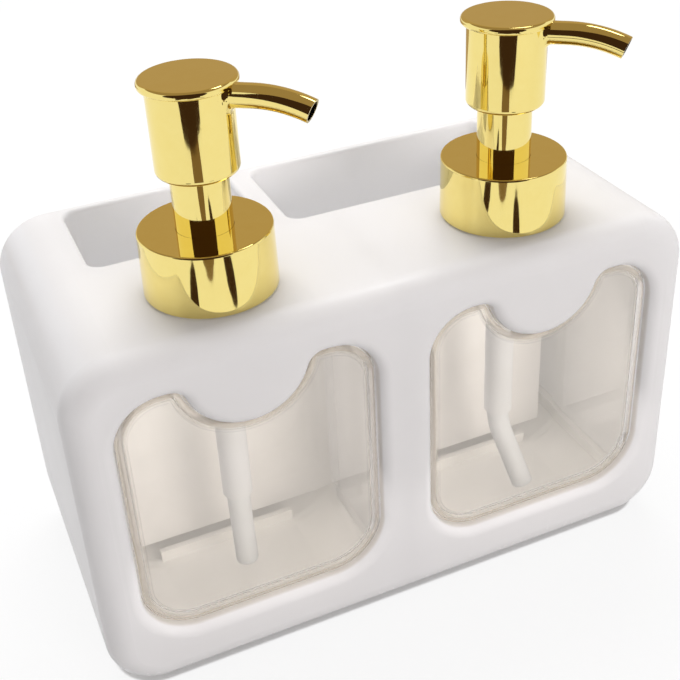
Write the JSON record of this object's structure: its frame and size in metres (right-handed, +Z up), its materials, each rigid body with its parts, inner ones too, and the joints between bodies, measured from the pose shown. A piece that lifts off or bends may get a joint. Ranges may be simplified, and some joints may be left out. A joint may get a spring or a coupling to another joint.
{
  "type": "soap pump caddy",
  "caption": "Rounded caddy with clear pump bottles behind shaped front windows, gold lotion pumps that press, swivel and unscrew, and open compartments behind them.",
  "frame": {"origin": "centre of the casing's footprint on the surface that the feet stand on", "axes": "+X along the casing's width to the viewer's right, -Y towards the front with the windows, +Z up"},
  "size_m": [0.1942, 0.0958, 0.1776],
  "materials": {
    "white_casing": "gloss",
    "clear_bottle": "clear gloss",
    "gold_plating": "mirror gold plating on plastic",
    "white_plastic": "satin",
    "tube_plastic": "translucent",
    "seal_rubber": "matte",
    "foot_rubber": "matte",
    "steel": "bright"
  },
  "bodies": {
    "caddy": {"casing": "white_casing", "base_cover": "white_plastic", "cover_screw_front": "steel", "cover_screw_left": "steel", "cover_screw_right": "steel", "foot_front_left": "foot_rubber", "foot_front_right": "foot_rubber", "foot_rear_left": "foot_rubber", "foot_rear_right": "foot_rubber", "left_bottle": "clear_bottle", "right_bottle": "clear_bottle"},
    "left_pump_unit": {"left_neck_gasket": "seal_rubber", "left_pump_housing": "white_plastic", "left_dip_tube": "tube_plastic", "left_neck_sleeve": "gold_plating"},
    "left_collar": {"left_closure": "white_plastic", "left_collar_shell": "gold_plating"},
    "left_plunger": {"left_piston": "white_plastic", "left_return_spring": "steel"},
    "left_head": {"left_plunger_stem": "white_plastic", "left_head_core": "white_plastic", "left_head_shell": "gold_plating", "left_head_cap": "gold_plating", "left_spout": "gold_plating"},
    "left_ball": {"left_check_ball": "steel"},
    "right_pump_unit": {"right_neck_gasket": "seal_rubber", "right_pump_housing": "white_plastic", "right_dip_tube": "tube_plastic", "right_neck_sleeve": "gold_plating"},
    "right_collar": {"right_closure": "white_plastic", "right_collar_shell": "gold_plating"},
    "right_plunger": {"right_piston": "white_plastic", "right_return_spring": "steel"},
    "right_head": {"right_plunger_stem": "white_plastic", "right_head_core": "white_plastic", "right_head_shell": "gold_plating", "right_head_cap": "gold_plating", "right_spout": "gold_plating"},
    "right_ball": {"right_check_ball": "steel"}
  },
  "joints": [
    {"name": "left_pump_rise", "type": "slide", "parent": "caddy", "child": "left_pump_unit", "axis": [0, 0, 1], "range_m": [0, 0.00635]},
    {"name": "left_collar_turn", "type": "hinge", "parent": "left_pump_unit", "child": "left_collar", "pos_m": [-0.0466, -0.0202, 0.13], "axis": [0, 0, 1], "range_deg": [0, 540]},
    {"name": "left_head_press", "type": "slide", "parent": "left_pump_unit", "child": "left_plunger", "axis": [0, 0, -1], "range_m": [0, 0.014], "stiffness_N_per_m": 600, "springref_m": -0.012, "deforming": ["left_return_spring"]},
    {"name": "left_spout_swivel", "type": "hinge", "parent": "left_plunger", "child": "left_head", "pos_m": [-0.0466, -0.0202, 0.13], "axis": [0, 0, 1], "continuous": true},
    {"name": "left_ball_lift", "type": "slide", "parent": "left_pump_unit", "child": "left_ball", "axis": [0, 0, 1], "range_m": [0, 0.0012]},
    {"name": "right_pump_rise", "type": "slide", "parent": "caddy", "child": "right_pump_unit", "axis": [0, 0, 1], "range_m": [0, 0.00635]},
    {"name": "right_collar_turn", "type": "hinge", "parent": "right_pump_unit", "child": "right_collar", "pos_m": [0.0466, -0.0202, 0.13], "axis": [0, 0, 1], "range_deg": [0, 540]},
    {"name": "right_head_press", "type": "slide", "parent": "right_pump_unit", "child": "right_plunger", "axis": [0, 0, -1], "range_m": [0, 0.014], "stiffness_N_per_m": 600, "springref_m": -0.012, "deforming": ["right_return_spring"]},
    {"name": "right_spout_swivel", "type": "hinge", "parent": "right_plunger", "child": "right_head", "pos_m": [0.0466, -0.0202, 0.13], "axis": [0, 0, 1], "continuous": true},
    {"name": "right_ball_lift", "type": "slide", "parent": "right_pump_unit", "child": "right_ball", "axis": [0, 0, 1], "range_m": [0, 0.0012]}
  ],
  "couplings": [
    {"joint": "left_collar_turn", "follows": "left_pump_rise", "rad_per_m": 1484.3},
    {"joint": "right_collar_turn", "follows": "right_pump_rise", "rad_per_m": 1484.3}
  ]
}
